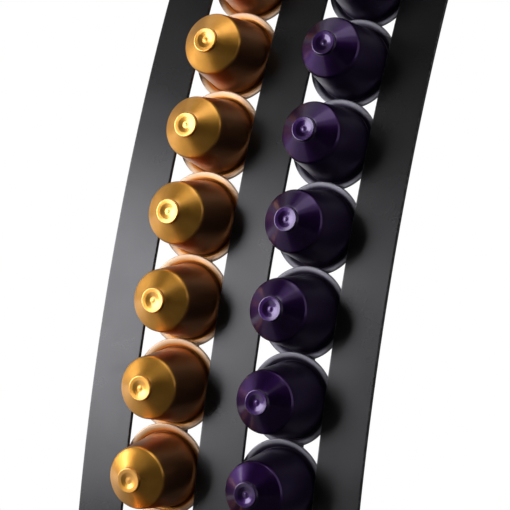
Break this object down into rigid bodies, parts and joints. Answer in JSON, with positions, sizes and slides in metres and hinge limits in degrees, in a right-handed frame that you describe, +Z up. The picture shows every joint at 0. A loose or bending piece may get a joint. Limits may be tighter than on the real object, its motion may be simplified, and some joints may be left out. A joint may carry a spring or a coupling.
{
  "type": "coffee capsule dispenser",
  "caption": "Curved upright sheet with two slots on a base plate; coffee capsules hang in the slots by their flanges and feed down to a wide hole at the bottom.",
  "frame": {"origin": "on the floor, at the middle of the base's outline", "axes": "+Z up, -Y the front that the capsule noses point to, +X to the right seen from the front"},
  "size_m": [0.14, 0.18, 0.4067],
  "materials": {
    "black_lacquer": "satin",
    "guide_lacquer": "satin",
    "zinc_steel": "zinc plated",
    "rubber": "matte",
    "gold_aluminium": "satin lacquered",
    "violet_aluminium": "satin lacquered",
    "lid_foil": "satin foil"
  },
  "bodies": {
    "stand": {"front_sheet": "black_lacquer", "rear_guide_left": "guide_lacquer", "rear_guide_right": "guide_lacquer", "guide_nut_left_lower": "zinc_steel", "guide_nut_left_upper": "zinc_steel", "guide_nut_right_lower": "zinc_steel", "guide_nut_right_upper": "zinc_steel", "base_plate": "black_lacquer", "foot_pad_front_left": "rubber", "foot_pad_front_right": "rubber", "foot_pad_rear_left": "rubber", "foot_pad_rear_right": "rubber", "base_screw_1": "zinc_steel", "base_screw_2": "zinc_steel", "base_screw_3": "zinc_steel"},
    "gold_capsule_1": {"gold_cup_1": "gold_aluminium", "gold_lid_1": "lid_foil"},
    "gold_capsule_2": {"gold_cup_2": "gold_aluminium", "gold_lid_2": "lid_foil"},
    "gold_capsule_3": {"gold_cup_3": "gold_aluminium", "gold_lid_3": "lid_foil"},
    "gold_capsule_4": {"gold_cup_4": "gold_aluminium", "gold_lid_4": "lid_foil"},
    "gold_capsule_5": {"gold_cup_5": "gold_aluminium", "gold_lid_5": "lid_foil"},
    "gold_capsule_6": {"gold_cup_6": "gold_aluminium", "gold_lid_6": "lid_foil"},
    "gold_capsule_7": {"gold_cup_7": "gold_aluminium", "gold_lid_7": "lid_foil"},
    "gold_capsule_8": {"gold_cup_8": "gold_aluminium", "gold_lid_8": "lid_foil"},
    "gold_capsule_9": {"gold_cup_9": "gold_aluminium", "gold_lid_9": "lid_foil"},
    "gold_capsule_10": {"gold_cup_10": "gold_aluminium", "gold_lid_10": "lid_foil"},
    "violet_capsule_1": {"violet_cup_1": "violet_aluminium", "violet_lid_1": "lid_foil"},
    "violet_capsule_2": {"violet_cup_2": "violet_aluminium", "violet_lid_2": "lid_foil"},
    "violet_capsule_3": {"violet_cup_3": "violet_aluminium", "violet_lid_3": "lid_foil"},
    "violet_capsule_4": {"violet_cup_4": "violet_aluminium", "violet_lid_4": "lid_foil"},
    "violet_capsule_5": {"violet_cup_5": "violet_aluminium", "violet_lid_5": "lid_foil"},
    "violet_capsule_6": {"violet_cup_6": "violet_aluminium", "violet_lid_6": "lid_foil"},
    "violet_capsule_7": {"violet_cup_7": "violet_aluminium", "violet_lid_7": "lid_foil"},
    "violet_capsule_8": {"violet_cup_8": "violet_aluminium", "violet_lid_8": "lid_foil"},
    "violet_capsule_9": {"violet_cup_9": "violet_aluminium", "violet_lid_9": "lid_foil"},
    "violet_capsule_10": {"violet_cup_10": "violet_aluminium", "violet_lid_10": "lid_foil"}
  },
  "joints": [
    {"name": "gold_column_feed", "type": "hinge", "parent": "stand", "child": "gold_capsule_1", "pos_m": [0, 0.611, 0.011], "axis": [-1, 0, 0], "range_deg": [0, 2.91]},
    {"name": "gold_capsule_2_feed", "type": "hinge", "parent": "stand", "child": "gold_capsule_2", "pos_m": [0, 0.611, 0.011], "axis": [-1, 0, 0], "range_deg": [0, 2.91]},
    {"name": "gold_capsule_3_feed", "type": "hinge", "parent": "stand", "child": "gold_capsule_3", "pos_m": [0, 0.611, 0.011], "axis": [-1, 0, 0], "range_deg": [0, 2.91]},
    {"name": "gold_capsule_4_feed", "type": "hinge", "parent": "stand", "child": "gold_capsule_4", "pos_m": [0, 0.611, 0.011], "axis": [-1, 0, 0], "range_deg": [0, 2.91]},
    {"name": "gold_capsule_5_feed", "type": "hinge", "parent": "stand", "child": "gold_capsule_5", "pos_m": [0, 0.611, 0.011], "axis": [-1, 0, 0], "range_deg": [0, 2.91]},
    {"name": "gold_capsule_6_feed", "type": "hinge", "parent": "stand", "child": "gold_capsule_6", "pos_m": [0, 0.611, 0.011], "axis": [-1, 0, 0], "range_deg": [0, 2.91]},
    {"name": "gold_capsule_7_feed", "type": "hinge", "parent": "stand", "child": "gold_capsule_7", "pos_m": [0, 0.611, 0.011], "axis": [-1, 0, 0], "range_deg": [0, 2.91]},
    {"name": "gold_capsule_8_feed", "type": "hinge", "parent": "stand", "child": "gold_capsule_8", "pos_m": [0, 0.611, 0.011], "axis": [-1, 0, 0], "range_deg": [0, 2.91]},
    {"name": "gold_capsule_9_feed", "type": "hinge", "parent": "stand", "child": "gold_capsule_9", "pos_m": [0, 0.611, 0.011], "axis": [-1, 0, 0], "range_deg": [0, 2.91]},
    {"name": "gold_capsule_10_feed", "type": "hinge", "parent": "stand", "child": "gold_capsule_10", "pos_m": [0, 0.611, 0.011], "axis": [-1, 0, 0], "range_deg": [0, 2.91]},
    {"name": "violet_column_feed", "type": "hinge", "parent": "stand", "child": "violet_capsule_1", "pos_m": [0, 0.611, 0.011], "axis": [-1, 0, 0], "range_deg": [0, 2.91]},
    {"name": "violet_capsule_2_feed", "type": "hinge", "parent": "stand", "child": "violet_capsule_2", "pos_m": [0, 0.611, 0.011], "axis": [-1, 0, 0], "range_deg": [0, 2.91]},
    {"name": "violet_capsule_3_feed", "type": "hinge", "parent": "stand", "child": "violet_capsule_3", "pos_m": [0, 0.611, 0.011], "axis": [-1, 0, 0], "range_deg": [0, 2.91]},
    {"name": "violet_capsule_4_feed", "type": "hinge", "parent": "stand", "child": "violet_capsule_4", "pos_m": [0, 0.611, 0.011], "axis": [-1, 0, 0], "range_deg": [0, 2.91]},
    {"name": "violet_capsule_5_feed", "type": "hinge", "parent": "stand", "child": "violet_capsule_5", "pos_m": [0, 0.611, 0.011], "axis": [-1, 0, 0], "range_deg": [0, 2.91]},
    {"name": "violet_capsule_6_feed", "type": "hinge", "parent": "stand", "child": "violet_capsule_6", "pos_m": [0, 0.611, 0.011], "axis": [-1, 0, 0], "range_deg": [0, 2.91]},
    {"name": "violet_capsule_7_feed", "type": "hinge", "parent": "stand", "child": "violet_capsule_7", "pos_m": [0, 0.611, 0.011], "axis": [-1, 0, 0], "range_deg": [0, 2.91]},
    {"name": "violet_capsule_8_feed", "type": "hinge", "parent": "stand", "child": "violet_capsule_8", "pos_m": [0, 0.611, 0.011], "axis": [-1, 0, 0], "range_deg": [0, 2.91]},
    {"name": "violet_capsule_9_feed", "type": "hinge", "parent": "stand", "child": "violet_capsule_9", "pos_m": [0, 0.611, 0.011], "axis": [-1, 0, 0], "range_deg": [0, 2.91]},
    {"name": "violet_capsule_10_feed", "type": "hinge", "parent": "stand", "child": "violet_capsule_10", "pos_m": [0, 0.611, 0.011], "axis": [-1, 0, 0], "range_deg": [0, 2.91]}
  ],
  "couplings": [
    {"joint": "gold_capsule_2_feed", "follows": "gold_column_feed", "ratio": 1},
    {"joint": "gold_capsule_3_feed", "follows": "gold_column_feed", "ratio": 1},
    {"joint": "gold_capsule_4_feed", "follows": "gold_column_feed", "ratio": 1},
    {"joint": "gold_capsule_5_feed", "follows": "gold_column_feed", "ratio": 1},
    {"joint": "gold_capsule_6_feed", "follows": "gold_column_feed", "ratio": 1},
    {"joint": "gold_capsule_7_feed", "follows": "gold_column_feed", "ratio": 1},
    {"joint": "gold_capsule_8_feed", "follows": "gold_column_feed", "ratio": 1},
    {"joint": "gold_capsule_9_feed", "follows": "gold_column_feed", "ratio": 1},
    {"joint": "gold_capsule_10_feed", "follows": "gold_column_feed", "ratio": 1},
    {"joint": "violet_capsule_2_feed", "follows": "violet_column_feed", "ratio": 1},
    {"joint": "violet_capsule_3_feed", "follows": "violet_column_feed", "ratio": 1},
    {"joint": "violet_capsule_4_feed", "follows": "violet_column_feed", "ratio": 1},
    {"joint": "violet_capsule_5_feed", "follows": "violet_column_feed", "ratio": 1},
    {"joint": "violet_capsule_6_feed", "follows": "violet_column_feed", "ratio": 1},
    {"joint": "violet_capsule_7_feed", "follows": "violet_column_feed", "ratio": 1},
    {"joint": "violet_capsule_8_feed", "follows": "violet_column_feed", "ratio": 1},
    {"joint": "violet_capsule_9_feed", "follows": "violet_column_feed", "ratio": 1},
    {"joint": "violet_capsule_10_feed", "follows": "violet_column_feed", "ratio": 1}
  ]
}
